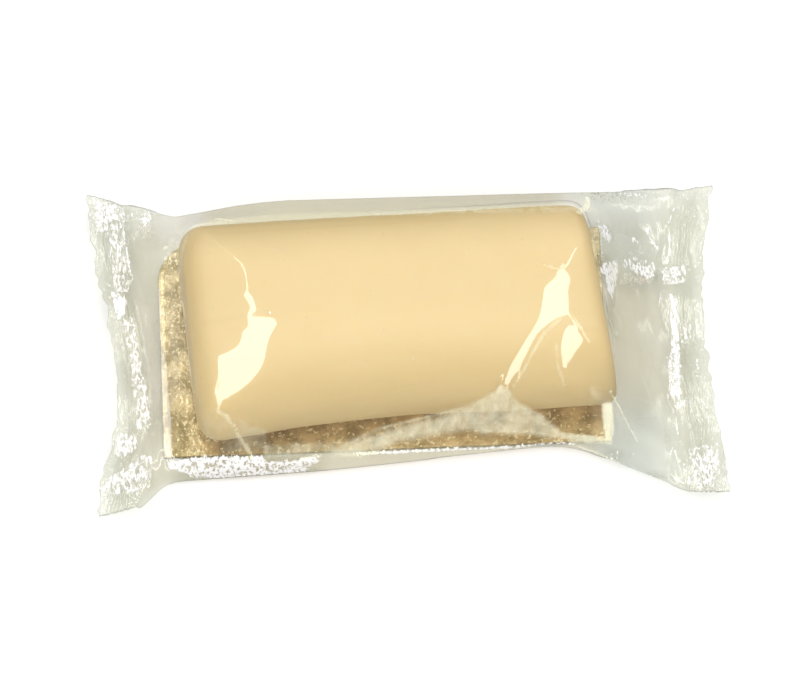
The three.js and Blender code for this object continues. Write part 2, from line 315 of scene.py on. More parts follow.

# Pressed streaks of the two seals, raised a little and whitened as painted glints, from above in mm: path,
# half width, whiteness
SEAL_STREAKS = (
    (((-62.6, 28.9), (-61.9, 21.1)), 0.5, 1.05),
    (((-61.3, 28.9), (-59.9, 20)), 0.5, 1.2),
    (((-59.6, 28.6), (-58.2, 18.3)), 0.5, 1.3),
    (((-60.4, 12.5), (-60.9, 8)), 1.2, 1.3),
    (((-60.2, 6.1), (-58.7, -2.7), (-58.4, -9.1), (-57.7, -15.4)), 0.5, 0.9),
    (((-58, 6.2), (-57.5, -0.2), (-56.2, -9.8), (-55.7, -14.8)), 0.5, 1.05),
    (((-65.8, -31.4), (-61.7, -29.3)), 0.7, 1.2),
    (((-64.4, -30.1), (-55.7, -25.2)), 0.6, 1.27),
    (((-61.3, -32), (-56.8, -28.4)), 0.5, 0.9),
    (((-55.4, -22.1), (-55.4, -32.5)), 0.5, 0.52),
    (((57.3, 25.1), (58.7, 28.7)), 0.5, 1.2),
    (((52.2, 22.9), (53.2, 20.9), (54.7, 19.1)), 0.7, 1.27),
    (((53.2, 20.1), (55.4, 19.7)), 0.4, 0.9),
    (((57.2, 22.8), (57.5, 20.2), (56.6, 16.5)), 0.5, 1.2),
    (((58.3, 22.1), (58.9, 20.1), (59, 18.8)), 0.4, 0.9),
    (((54.2, 5.5), (54.8, 10.1), (56.2, 9.4)), 0.4, 1.05),
    (((56.8, 8), (57.5, 3.7), (57, -1.6), (57.4, -6.9), (57.1, -15.4)), 0.9, 1.3),
    (((55.2, -6.1), (55.6, -10.7), (55.1, -15.6)), 0.5, 1.2),
    (((54.8, -16.1), (56, -18.7), (56.8, -25.8)), 0.5, 1.05),
    (((57.2, -30.7), (59.1, -36.5)), 0.5, 0.9),
    (((55.4, 28.9), (57.8, 30.8), (61.6, 32.1)), 0.4, 0.9),
)

# White lines of painted highlight on small raised folds of the film under the card's front edge, in mm: path,
# half width, whiteness
FRONT_LINES = (
    (((-51.2, -26.5, 6.8), (-41.4, -26.6, 7.8), (-31.9, -26.5, 7.3)), 1.05, 1.3),
    (((-12.2, -25.9, 6.3), (-2.5, -25.5, 5.5), (12.4, -24.8, 4), (23.1, -24.2, 2.6), (34.5, -24.5, 3.6)),
     1.05, 1.3),
)

# Crumpled places of the film, which also get white specks of painted glints, from above in mm: middle, reach
# along and across, how crumpled
CRUMPLES = (
    ((-63.3, 33.1), (3.5, 3.5), 2.1),
    ((-54.5, 29), (1.5, 2), 2),
    ((-57, 31), (6, 1), 1.7),
    ((-61.5, 24), (2, 4), 1.5),
    ((-60.7, 12), (1.6, 4), 2.1),
    ((-58, -5), (1.3, 9), 1.8),
    ((-56.5, -14), (1.6, 3.5), 2),
    ((-60.8, -21.5), (2.8, 2.5), 2.1),
    ((-60, -29), (5, 2.8), 1.8),
    ((43, 18), (1.8, 2.5), 1.9),
    ((43.2, 6), (1.4, 3.5), 1.6),
    ((43.5, 1.5), (0.7, 2.5), 1.6),
    ((51, 13.3), (3.5, 1.8), 2.1),
    ((57.6, 14.2), (2.6, 1.6), 2.1),
    ((57.2, -4), (1.2, 11), 1.9),
    ((60.5, 0.4), (0.6, 2.5), 1.9),
    ((61.6, -9.4), (0.6, 2), 1.9),
    ((61.7, -32), (3.2, 4.5), 2),
    ((47, 30.5), (9, 0.8), 1.8),
    ((42, -28), (3, 1), 1.6),
    ((50, -32.5), (5, 0.8), 1.4),
    ((-45, -27.6), (7, 1.6), 1.2),
    ((-33, -27.8), (9, 1.5), 1.2),
    ((-23, -27.3), (4, 1), 1.2),
)

# The camera of the photograph, which is 800 by 700 pixels
PHOTO_WIDTH = 800
PIXELS_PER_MM = 4.684
CAMERA_AIM = Vector((-1.4 * MM, 0, 1 * MM))
CAMERA_AZIMUTH = math.radians(-2.4)
CAMERA_ELEVATION = math.radians(66)
CAMERA_DISTANCE = 1.8
SENSOR_WIDTH = 36

# Two long softboxes slope down to the front, and a soft light all round is brightest overhead
LEFT_STRIP_BACK = (-0.27, 0.62, 0.98)
RIGHT_STRIP_BACK = (0.264, 0.33, 0.83)
STRIP_FRONT = (0.24, -1, 0.15)
STRIP_WIDTH = 0.11
STRIP_RADIANCE = 4.2
SKY_DIM = 0.35
SKY_BRIGHT = 1
SKY_MIDDLE = (0, 0.3, 0.95)

# The floor: white where it is seen, and darker in mirrors and in the light that it throws back
FLOOR_SIZE = 6
FLOOR_DROP = 0.05 * MM
FLOOR_SEEN = 0.95
FLOOR_MIRRORED = 0.3
FLOOR_BOUNCED = 0.55


def pick_only(piece):
    if bpy.context.mode != "OBJECT":
        bpy.ops.object.mode_set(mode="OBJECT")
    bpy.ops.object.select_all(action="DESELECT")
    piece.select_set(True)
    bpy.context.view_layer.objects.active = piece


def edit(piece, kind):
    """Opens a piece in edit mode with nothing selected, ready to pick its points, edges or faces."""
    pick_only(piece)
    bpy.ops.object.mode_set(mode="EDIT")
    bpy.ops.mesh.select_mode(type=kind)
    bpy.ops.mesh.select_all(action="DESELECT")
    bpy.ops.object.mode_set(mode="OBJECT")


def pick_edges(piece, wanted):
    """Selects the edges whose two ends answer a test, and goes into edit mode."""
    edit(piece, "EDGE")
    points = piece.data.vertices
    for line in piece.data.edges:
        a, b = (points[i].co for i in line.vertices)
        line.select = bool(wanted(a, b))
    bpy.ops.object.mode_set(mode="EDIT")


def object_mode():
    bpy.ops.object.mode_set(mode="OBJECT")


def finish_modifier(piece, kind, **settings):
    """Adds a modifier with its settings and applies it."""
    pick_only(piece)
    modifier = piece.modifiers.new(kind.lower(), kind)
    for name, value in settings.items():
        setattr(modifier, name, value)
    bpy.ops.object.modifier_apply(modifier=modifier.name)


def cloud_texture(name, size):
    texture = bpy.data.textures.new(name, "CLOUDS")
    texture.noise_scale = size
    texture.noise_depth = 2
    return texture


def lumps(piece, name, size, depth):
    """Presses soft dents of a given size into a surface."""
    texture = cloud_texture(name, size)
    finish_modifier(piece, "DISPLACE", texture=texture, texture_coords="LOCAL", strength=depth, mid_level=1)


def put_in_frame(piece):
    """Leaves a piece's object at the origin, with its place in its mesh."""
    pick_only(piece)
    bpy.ops.object.transform_apply(location=True, rotation=True, scale=True)


# Materials

def new_material(name):
    material = bpy.data.materials.new(name)
    material.use_nodes = True
    nodes = material.node_tree.nodes
    nodes.clear()
    return material, nodes, material.node_tree.links


def add_node(nodes, kind, inputs=None, **settings):
    node = nodes.new(kind)
    for name, value in settings.items():
        setattr(node, name, value)
    for name, value in (inputs or {}).items():
        node.inputs[name].default_value = value
    return node


def add_noise(nodes, scale, detail, roughness, distortion=0):
    return add_node(nodes, "ShaderNodeTexNoise", {
        "Scale": scale, "Detail": detail, "Roughness": roughness, "Distortion": distortion,
    })


def add_range(nodes, low, high, to_low=0, to_high=1, kind="LINEAR"):
    return add_node(nodes, "ShaderNodeMapRange", {
        "From Min": low, "From Max": high, "To Min": to_low, "To Max": to_high,
    }, interpolation_type=kind)


def add_mix(nodes, first, second):
    """Mixes two colours by a factor."""
    return add_node(nodes, "ShaderNodeMix", {"A": first, "B": second}, data_type="RGBA")


def marzipan_material():
    material, nodes, links = new_material("marzipan")
    out = add_node(nodes, "ShaderNodeOutputMaterial")
    shader = add_node(nodes, "ShaderNodeBsdfPrincipled", {
        "Roughness": 0.5,
        "Subsurface Weight": 0.25,
        "Subsurface Scale": 2.5 * MM,
        "Subsurface Radius": (1.0, 0.6, 0.3),
    })
    place = add_node(nodes, "ShaderNodeTexCoord")
    patches = add_noise(nodes, 60, 4, 0.6)
    tint = add_mix(nodes, (0.75, 0.565, 0.277, 1), (0.79, 0.61, 0.322, 1))
    grain = add_noise(nodes, 1400, 3, 0.6)
    bump = add_node(nodes, "ShaderNodeBump", {"Strength": 0.25, "Distance": 0.1 * MM})
    links.new(place.outputs["Object"], patches.inputs["Vector"])
    links.new(place.outputs["Object"], grain.inputs["Vector"])
    links.new(patches.outputs["Fac"], tint.inputs["Factor"])
    links.new(tint.outputs["Result"], shader.inputs["Base Color"])
    links.new(grain.outputs["Fac"], bump.inputs["Height"])
    links.new(bump.outputs["Normal"], shader.inputs["Normal"])
    links.new(shader.outputs["BSDF"], out.inputs["Surface"])
    return material


def gold_foil_material():
    """Mottled foil with small pale dots of painted glint, pressed into soft waves and fine grain."""
    material, nodes, links = new_material("gold_foil")
    out = add_node(nodes, "ShaderNodeOutputMaterial")
    shader = add_node(nodes, "ShaderNodeBsdfPrincipled", {"Roughness": 0.2})
    place = add_node(nodes, "ShaderNodeTexCoord")
    mottle = add_noise(nodes, 240, 5, 0.65)
    glint_dots = add_noise(nodes, 1300, 1, 0.5)
    waves = add_noise(nodes, 260, 2, 0.5, 0.6)
    grain = add_noise(nodes, 900, 3, 0.6)
    for pattern in (mottle, glint_dots, waves, grain):
        links.new(place.outputs["Object"], pattern.inputs["Vector"])

    tone = add_range(nodes, 0.39, 0.61)
    colour = add_mix(nodes, (0.45, 0.355, 0.165, 1), (0.92, 0.75, 0.44, 1))
    # Painted glints: small pale dots of the foil, with a paler colour and less metal
    painted_spark = add_range(nodes, 0.6, 0.68)
    painted_glint_colour = add_node(nodes, "ShaderNodeMix", {"B": (1, 0.9, 0.6, 1)}, data_type="RGBA")
    metal = add_range(nodes, 0, 1, 0.62, 0.45)
    links.new(mottle.outputs["Fac"], tone.inputs["Value"])
    links.new(tone.outputs["Result"], colour.inputs["Factor"])
    links.new(glint_dots.outputs["Fac"], painted_spark.inputs["Value"])
    links.new(painted_spark.outputs["Result"], painted_glint_colour.inputs["Factor"])
    links.new(colour.outputs["Result"], painted_glint_colour.inputs["A"])
    links.new(painted_glint_colour.outputs["Result"], shader.inputs["Base Color"])
    links.new(painted_spark.outputs["Result"], metal.inputs["Value"])
    links.new(metal.outputs["Result"], shader.inputs["Metallic"])

    coarse = add_node(nodes, "ShaderNodeBump", {"Strength": 0.6, "Distance": 0.25 * MM})
    fine = add_node(nodes, "ShaderNodeBump", {"Strength": 1, "Distance": 0.14 * MM})
    links.new(waves.outputs["Fac"], coarse.inputs["Height"])
    links.new(grain.outputs["Fac"], fine.inputs["Height"])
    links.new(coarse.outputs["Normal"], fine.inputs["Normal"])
    links.new(fine.outputs["Normal"], shader.inputs["Normal"])
    links.new(shader.outputs["BSDF"], out.inputs["Surface"])
    return material


def film_material():
    """Thin clear film that mirrors more at a slant, and is white and rough where glints, highlights and light
    are painted on it, mostly at creases and seals.
    """
    material, nodes, links = new_material("clear_film")
    out = add_node(nodes, "ShaderNodeOutputMaterial")
    through = add_node(nodes, "ShaderNodeBsdfTransparent")
    gloss = add_node(nodes, "ShaderNodeBsdfPrincipled")
    place = add_node(nodes, "ShaderNodeTexCoord")
    crinkle_and_glints = add_node(nodes, "ShaderNodeAttribute", attribute_name="crinkle_and_glints")
    crease = add_node(nodes, "ShaderNodeAttribute", attribute_name="crease")
    painted_haze = add_node(nodes, "ShaderNodeAttribute", attribute_name="painted_haze")
    painted_warmth = add_node(nodes, "ShaderNodeAttribute", attribute_name="painted_warmth")
    dull = add_node(nodes, "ShaderNodeAttribute", attribute_name="dull")
    tint = add_node(nodes, "ShaderNodeAttribute", attribute_name="tint")
    stretch = add_node(nodes, "ShaderNodeMapping", {"Scale": (1, 0.45, 0.6)})
    patches = add_noise(nodes, 130, 2, 0.5)
    streaks = add_noise(nodes, 2200, 3, 0.6)
    blots = add_noise(nodes, 1500, 3, 0.65)
    wrinkles = add_noise(nodes, 500, 4, 0.6)
    links.new(place.outputs["Object"], stretch.inputs["Vector"])
    links.new(place.outputs["Object"], patches.inputs["Vector"])
    for pattern in (streaks, blots, wrinkles):
        links.new(stretch.outputs["Vector"], pattern.inputs["Vector"])

    # The colour of the film, which turns cream where painted haze lies over the log
    painted_warmth_mix = add_mix(nodes, WHITE_FILM, PAINTED_HIGHLIGHT_CREAM)
    links.new(painted_warmth.outputs["Fac"], painted_warmth_mix.inputs["Factor"])
    links.new(painted_warmth_mix.outputs["Result"], gloss.inputs["Base Color"])
    links.new(tint.outputs["Color"], through.inputs["Color"])

    # Painted glints: white specks where the film is crumpled, and white blots along the seal streaks, the
    # front lines and the glint patches
    patchy = add_node(nodes, "ShaderNodeMath", {1: PATCH_SHARE}, operation="MULTIPLY_ADD")
    crumpled = add_node(nodes, "ShaderNodeMath", {1: CRUMPLE_SHARE}, operation="MULTIPLY_ADD")
    painted_sparks = add_range(nodes, 0.89, 0.98, kind="SMOOTHSTEP")
    gate = add_node(nodes, "ShaderNodeMath", {1: 1}, operation="MINIMUM")
    painted_specks = add_node(nodes, "ShaderNodeMath", operation="MULTIPLY")
    spread = add_node(nodes, "ShaderNodeMath", {1: GLINT_BLOT_SHARE}, operation="MULTIPLY_ADD")
    painted_blots = add_range(nodes, 0.68, 0.82, kind="SMOOTHSTEP")
    glint_white = add_node(nodes, "ShaderNodeMath", operation="MAXIMUM")
    # Painted haze: white film, uneven by a noise, that paints highlights, reflections and light
    uneven = add_range(nodes, 0.35, 0.65, 0.65, 1.15)
    painted_haze_light = add_node(nodes, "ShaderNodeMath", operation="MULTIPLY")
    painted_white = add_node(nodes, "ShaderNodeMath", operation="MAXIMUM")
    links.new(patches.outputs["Fac"], patchy.inputs[0])
    links.new(streaks.outputs["Fac"], patchy.inputs[2])
    links.new(crinkle_and_glints.outputs["Fac"], crumpled.inputs[0])
    links.new(patchy.outputs[0], crumpled.inputs[2])
    links.new(crumpled.outputs[0], painted_sparks.inputs["Value"])
    links.new(crinkle_and_glints.outputs["Fac"], gate.inputs[0])
    links.new(painted_sparks.outputs["Result"], painted_specks.inputs[0])
    links.new(gate.outputs[0], painted_specks.inputs[1])
    links.new(crease.outputs["Fac"], spread.inputs[0])
    links.new(blots.outputs["Fac"], spread.inputs[2])
    links.new(spread.outputs[0], painted_blots.inputs["Value"])
    links.new(painted_specks.outputs[0], glint_white.inputs[0])
    links.new(painted_blots.outputs["Result"], glint_white.inputs[1])
    links.new(wrinkles.outputs["Fac"], uneven.inputs["Value"])
    links.new(uneven.outputs["Result"], painted_haze_light.inputs[0])
    links.new(painted_haze.outputs["Fac"], painted_haze_light.inputs[1])
    links.new(glint_white.outputs[0], painted_white.inputs[0])
    links.new(painted_haze_light.outputs[0], painted_white.inputs[1])

    facing = add_node(nodes, "ShaderNodeLayerWeight", {"Blend": 0.5})
    steep = add_node(nodes, "ShaderNodeMath", {1: SLANT_POWER}, operation="POWER")
    share = add_node(nodes, "ShaderNodeMath", {1: SLANT_GLOSS, 2: FILM_GLOSS}, operation="MULTIPLY_ADD")
    cover = add_node(nodes, "ShaderNodeMath", operation="MAXIMUM")
    links.new(facing.outputs["Facing"], steep.inputs[0])
    links.new(steep.outputs[0], share.inputs[0])
    links.new(share.outputs[0], cover.inputs[0])
    links.new(painted_white.outputs[0], cover.inputs[1])

    mirror = add_range(nodes, 0, 0.3, 1, 0)
    smooth = add_node(nodes, "ShaderNodeMath", {1: CLEAR_ROUGHNESS}, operation="ADD")
    rough = add_node(nodes, "ShaderNodeMath", {1: WHITE_ROUGHNESS}, operation="MULTIPLY_ADD")
    links.new(painted_white.outputs[0], mirror.inputs["Value"])
    links.new(mirror.outputs["Result"], gloss.inputs["Metallic"])
    links.new(dull.outputs["Fac"], smooth.inputs[0])
    links.new(painted_white.outputs[0], rough.inputs[0])
    links.new(smooth.outputs[0], rough.inputs[2])
    links.new(rough.outputs[0], gloss.inputs["Roughness"])

    depth = add_node(nodes, "ShaderNodeMath", operation="MULTIPLY")
    bump = add_node(nodes, "ShaderNodeBump", {"Strength": 1, "Distance": 0.35 * MM})
    # The painted haze also turns the shading normal upward, so that it takes more light from the bright sky
    upward = add_node(nodes, "ShaderNodeMix", {"B": (0, 0, 1)}, data_type="VECTOR")
    turned_up_normal = add_node(nodes, "ShaderNodeVectorMath", operation="NORMALIZE")
    links.new(wrinkles.outputs["Fac"], depth.inputs[0])
    links.new(crinkle_and_glints.outputs["Fac"], depth.inputs[1])
    links.new(depth.outputs[0], bump.inputs["Height"])
    links.new(painted_haze_light.outputs[0], upward.inputs["Factor"])
    links.new(bump.outputs["Normal"], upward.inputs["A"])
    links.new(upward.outputs["Result"], turned_up_normal.inputs[0])
    links.new(turned_up_normal.outputs["Vector"], gloss.inputs["Normal"])

    mix = add_node(nodes, "ShaderNodeMixShader")
    links.new(cover.outputs[0], mix.inputs[0])
    links.new(through.outputs[0], mix.inputs[1])
    links.new(gloss.outputs[0], mix.inputs[2])
    links.new(mix.outputs[0], out.inputs["Surface"])
    return material


# The marzipan log

def log_cage():
    """The eight corners of the log's cage, by end, side and level, each with its place on the card."""
    corners = {}
    for end, width, skew in ((-1, LOG_WIDTH_LEFT, LOG_SKEW_LEFT), (1, LOG_WIDTH_RIGHT, LOG_SKEW_RIGHT)):
        for side in (-1, 1):
            across = side * width / 2
            along = end * LOG_LENGTH / 2 - skew * across
            x = LOG_MIDDLE.x + along * math.cos(LOG_TURN) - across * math.sin(LOG_TURN)
            y = LOG_MIDDLE.y + along * math.sin(LOG_TURN) + across * math.cos(LOG_TURN)
            for level in (-1, 1):
                z = LOG_FLOOR + (level + 1) / 2 * LOG_HEIGHT
                shift = LOG_CORNER_SHIFTS.get((end, side, level), Vector())
                corners[end, side, level] = Vector((x, y, z)) + shift
    return corners


def make_log():
    middle_width = (LOG_WIDTH_LEFT + LOG_WIDTH_RIGHT) / 2
    bpy.ops.object.select_all(action="DESELECT")
    bpy.ops.mesh.primitive_cube_add(size=1, scale=(LOG_LENGTH, middle_width, LOG_HEIGHT))
    log = bpy.context.object
    log.name = "marzipan_log"
    put_in_frame(log)
    top = LOG_HEIGHT / 2
    for level, radius, steps in ((top, LOG_TOP_ROUND, 14), (-top, LOG_BASE_ROUND, 10)):
        pick_edges(log, lambda a, b: (
            abs(a.z - level) < 1e-6 and abs(b.z - level) < 1e-6 and abs(a.x - b.x) > MM
        ))
        bpy.ops.mesh.bevel(offset=radius, segments=steps, affect="EDGES", clamp_overlap=False)
        object_mode()
    for end, rim in ((-LOG_LENGTH / 2, LOG_RIM_LEFT), (LOG_LENGTH / 2, LOG_RIM_RIGHT)):
        pick_edges(log, lambda a, b: abs(a.x - end) < 1e-6 and abs(b.x - end) < 1e-6)
        bpy.ops.mesh.bevel(offset=rim, segments=6, affect="EDGES", clamp_overlap=False)
        object_mode()
    finish_modifier(log, "REMESH", mode="VOXEL", voxel_size=LOG_SKIN_STEP)
    finish_modifier(log, "SMOOTH", factor=0.5, iterations=12)

    bpy.ops.object.select_all(action="DESELECT")
    bpy.ops.object.add(type="LATTICE")
    cage = bpy.context.object
    cage.scale = (LOG_LENGTH, middle_width, LOG_HEIGHT)
    cage.data.points_u, cage.data.points_v, cage.data.points_w = len(LOG_FRONT_DRAWN_IN), 2, 2
    cage.data.interpolation_type_u = "KEY_CATMULL_ROM"
    cage.data.interpolation_type_v = "KEY_LINEAR"
    cage.data.interpolation_type_w = "KEY_LINEAR"
    bpy.context.view_layer.update()
    corners = log_cage()
    back = cage.matrix_world.inverted()
    for point in cage.data.points:
        side, level = round(2 * point.co.y), round(2 * point.co.z)
        along = point.co.x + 0.5
        place = corners[-1, side, level].lerp(corners[1, side, level], along)
        if side < 0:
            column = round(along * (len(LOG_FRONT_DRAWN_IN) - 1))
            place = place + Vector((0, LOG_FRONT_DRAWN_IN[column], 0))
        point.co_deform = back @ place
    finish_modifier(log, "LATTICE", object=cage)
    bpy.data.objects.remove(cage)
    edit(log, "VERT")
    for point in log.data.vertices:
        point.select = point.co.z < LOG_FLOOR + LOG_FLAT_BELOW
    bpy.ops.object.mode_set(mode="EDIT")
    bpy.ops.transform.resize(value=(1, 1, 0), center_override=(0, 0, LOG_FLOOR))
    object_mode()
    pick_only(log)
    bpy.ops.object.shade_smooth()
    log.data.materials.append(marzipan_material())
    return log


# The gold card

def make_card():
    bpy.ops.object.select_all(action="DESELECT")
    edge = CARD_THICKNESS - CARD_RIM_FALL
    middle = CARD_MIDDLE + Vector((0, 0, CARD_LIFT + edge / 2))
    bpy.ops.mesh.primitive_cube_add(size=1, location=middle, scale=(CARD_LENGTH, CARD_WIDTH, edge))
    card = bpy.context.object
    card.name = "gold_card"
    put_in_frame(card)
    corner = middle + Vector((-CARD_LENGTH / 2, CARD_WIDTH / 2, 0))
    pick_edges(card, lambda a, b: max((a - corner).xy.length, (b - corner).xy.length) < 1e-6)
    bpy.ops.mesh.bevel(offset=CARD_ROUND_CORNER, segments=10, affect="EDGES", clamp_overlap=False)
    object_mode()
    cuts = (
        middle.x - CARD_LENGTH / 2 + CARD_ROUND_CORNER + MM,
        middle.x + CARD_LENGTH / 2 - CARD_FRONT_GLINT,
    )
    for cut in cuts:
        edit(card, "FACE")
        bpy.ops.object.mode_set(mode="EDIT")
        bpy.ops.mesh.select_all(action="SELECT")
        bpy.ops.mesh.bisect(plane_co=(cut, 0, 0), plane_no=(1, 0, 0))
        object_mode()
    edit(card, "FACE")
    for face in card.data.polygons:
        face.select = face.normal.z > 0.9
    bpy.ops.object.mode_set(mode="EDIT")
    bpy.ops.mesh.inset(thickness=CARD_RIM, depth=CARD_RIM_FALL)
    bpy.ops.mesh.inset(thickness=CARD_RIM / 2, depth=0)
    object_mode()
    highest = CARD_LIFT + edge + 1e-6
    pick_edges(card, lambda a, b: (
        abs(a.z - b.z) < 1e-6 and a.z < highest
        and not any(abs(a.x - cut) + abs(b.x - cut) < 1e-5 for cut in cuts)
    ))
    bpy.ops.mesh.bevel(offset=CARD_EDGE_ROUND, segments=2, affect="EDGES")
    object_mode()
    front = middle.y - CARD_WIDTH / 2 + CARD_RIM / 2
    edit(card, "VERT")
    for point in card.data.vertices:
        at_front = point.co.y < front and point.co.z > middle.z
        point.select = at_front and cuts[0] - MM / 2 < point.co.x < cuts[1] + MM / 2
    bpy.ops.object.mode_set(mode="EDIT")
    bpy.ops.transform.translate(value=(0, 0, CARD_RIM_FALL))
    object_mode()
    pick_only(card)
    bpy.ops.object.shade_smooth_by_angle(angle=CARD_SMOOTH_BELOW)
    card.data.materials.append(gold_foil_material())
    return card


# The film

def coords(piece):
    """All of a mesh's points as one array."""
    flat = np.empty(len(piece.data.vertices) * 3)
    piece.data.vertices.foreach_get("co", flat)
    return flat.reshape(-1, 3)


def fade(values, start, end):
    """Nothing at the start and 1 at the end, which may lie on either side of it."""
    return np.clip((values - start) / (end - start), 0, 1)


def by_weight(piece, weights, kind, **settings):
    """Applies a modifier by each point's own weight."""
    group = piece.vertex_groups.new(name="weights")
    for i in np.flatnonzero(weights > 0.001):
        group.add([int(i)], float(weights[i]), "REPLACE")
    finish_modifier(piece, kind, vertex_group="weights", **settings)
    piece.vertex_groups.remove(piece.vertex_groups["weights"])


def push(piece, weights, distance, direction="NORMAL"):
    """Moves points along an axis or their normals, by a distance times each point's own weight."""
    by_weight(piece, weights, "DISPLACE", strength=distance, mid_level=0, direction=direction)


def move_up(piece, heights):
    """Moves points by heights in mm, which are all up or all down."""
    most = heights[np.abs(heights).argmax()]
    push(piece, heights / most, most * MM, "Z")


def ease(piece, weights, times):
    """Smooths a piece by each point's own weight."""
    by_weight(piece, weights, "SMOOTH", factor=0.5, iterations=times)


def mark(piece, name, values):
    """Stores a number at each point for the material to read."""
    layer = piece.data.attributes.new(name, "FLOAT", "POINT")
    layer.data.foreach_set("value", values.astype(np.float32))


def ramp(distance, reach, soft):
    """Nothing before the start, then as long as the distance, up to a reach, with softened bends."""
    start = (np.sqrt(distance ** 2 + soft ** 2) + distance) / 2
    past = distance - reach
    return start - (np.sqrt(past ** 2 + soft ** 2) + past) / 2


def press_ends(piece, soft, blur):
    """Lets a piece down over the facets, with bends and outlines softened by lengths in mm."""
    x, y, z = coords(piece).T / MM
    drop = np.zeros(len(x))
    steps = blur * np.linspace(-1, 1, 5)
    for side, slopes, rows in END_FACETS:
        at_y, starts, ends = zip(*sorted(rows))
        start = np.mean([np.interp(y + step, at_y, starts) for step in steps], axis=0)
        end = np.mean([np.interp(y + step, at_y, ends) for step in steps], axis=0)
        slope = np.interp(y, *zip(*slopes))
        fall = slope * ramp(side * (x - start), side * (end - start), soft)
        drop += fall * fade(side * x, *FACETS_REACH)
    drop *= fade(z * MM, LOG_FLOOR, LOG_FLOOR + LOG_HEIGHT)
    move_up(piece, -drop)


def lift_tail(film):
    x, y, z = coords(film).T / MM
    (top_x, top_y), (tip_x, tip_y) = TAIL_TOP, TAIL_TIP
    middle = np.interp(y, (tip_y, top_y), (tip_x, top_x))
    past = np.clip(top_y - y, 0, top_y - tip_y)
    heights = TAIL_CURVE * past ** 2 + TAIL_CURL * np.clip(past - TAIL_CURL_FROM, 0, None) ** 3
    heights *= fade(np.abs(x - middle), TAIL_HALF_WIDTH, TAIL_HALF_WIDTH - TAIL_EDGE)
    heights *= fade(tip_y - y, *TAIL_RUN_OUT) * (z > TAIL_LOWEST)
    move_up(film, heights)


def lift_lobe(film):
    x, y, z = coords(film).T / MM
    at_y, ends, curves = zip(*sorted(LOBE))
    end = np.interp(y, at_y, ends)
    past = np.clip(LOBE_START - x, 0, LOBE_START - end)
    heights = np.interp(y, at_y, curves) / 2 * past ** 2
    heights *= fade(end - x, LOBE_EDGE, 0) * (z > LOBE_LOWEST)
    move_up(film, heights)


def within(x, y, outline, soft):
    """How far points seen from above lie in an outline, from 1 inside it to 0 at its soft edge."""
    inside = np.zeros(len(x), bool)
    away = np.full(len(x), np.inf)
    for (ax, ay), (bx, by) in zip(outline, outline[1:] + outline[:1]):
        dx, dy = bx - ax, by - ay
        along = np.clip(((x - ax) * dx + (y - ay) * dy) / (dx ** 2 + dy ** 2), 0, 1)
        away = np.minimum(away, np.hypot(x - ax - along * dx, y - ay - along * dy))
        if dy:
            inside ^= ((ay > y) != (by > y)) & (x < ax + (y - ay) * dx / dy)
    return np.where(inside, 1, fade(away, soft, 0))


def lay_on(piece, path):
    """A path in mm, laid on the piece from above unless it gives its heights, in even small steps."""
    spots = []
    for a, b in zip(path, path[1:]):
        count = max(2, int(math.dist(a, b) * MM / PATH_STEP))
        for i in range(count + 1):
            spot = Vector(a).lerp(Vector(b), i / count) * MM
            if len(a) == 2:
                found, spot, _, _ = piece.ray_cast(Vector((*spot, 1)), Vector((0, 0, -1)))
                if not found:
                    continue
            spots.append(spot)
    return np.array(spots)


def nearness(points, spots, reach, steep=(0, 0)):
    """How near points are to a path, from 1 on it to 0 at its reach, which is shorter on the steep side."""
    near = np.full(len(points), np.inf)
    for spot in spots:
        away = points - spot
        longer = np.where(away[:, 0] * steep[0] + away[:, 1] * steep[1] > 0, STEEP_SIDE, 1)
        near = np.minimum(near, np.sqrt((away ** 2).sum(axis=1)) * longer)
    return fade(near, reach, 0)


def crumple(piece, weights, name, size, depth, stretch, direction="Z"):
    """Pushes the film to and fro in wrinkles of a given size, drawn out along the seals."""
    bpy.ops.object.select_all(action="DESELECT")
    bpy.ops.object.empty_add(type="PLAIN_AXES")
    grid = bpy.context.object
    grid.scale = (1, stretch, 1)
    bpy.context.view_layer.update()
    by_weight(
        piece, weights, "DISPLACE", texture=cloud_texture(name, size), texture_coords="OBJECT",
        texture_coords_object=grid, strength=depth, mid_level=0.5, direction=direction,
    )
    bpy.data.objects.remove(grid)


def film_net():
    """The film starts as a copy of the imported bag, joined up again into a net of four-sided faces."""
    film = bpy.data.objects.new("clear_film", frame["nodes"][BAG].data.copy())
    bpy.context.scene.collection.objects.link(film)
    film.data.materials.clear()
    pick_only(film)
    bpy.ops.mesh.customdata_custom_splitnormals_clear()
    bpy.ops.object.mode_set(mode="EDIT")
    bpy.ops.mesh.select_all(action="SELECT")
    bpy.ops.mesh.remove_doubles(threshold=1e-6)
    bpy.ops.mesh.tris_convert_to_quads(face_threshold=math.pi, shape_threshold=math.pi, topology_influence=2)
    object_mode()
    pick_edges(film, lambda a, b: (
        abs(a.x - b.x) > NET_LONG_EDGE and abs(a.x - b.x) > abs(a.y - b.y) and a.z > NET_LOWEST
    ))
    bpy.ops.mesh.subdivide(number_cuts=2)
    object_mode()
    edit(film, "EDGE")
    bpy.ops.object.mode_set(mode="EDIT")
    bpy.ops.mesh.edges_select_sharp(sharpness=NET_SHARP)
    bpy.ops.transform.edge_crease(value=0.9)
    object_mode()
    finish_modifier(film, "SUBSURF", levels=1, render_levels=1)
    edit(film, "FACE")
    for face in film.data.polygons:
        face.select = face.normal.z > 0
    bpy.ops.object.mode_set(mode="EDIT")
    bpy.ops.mesh.subdivide(number_cuts=1)
    bpy.ops.mesh.select_less()
    bpy.ops.mesh.vertices_smooth(factor=0.5, repeat=3)
    object_mode()
    return film


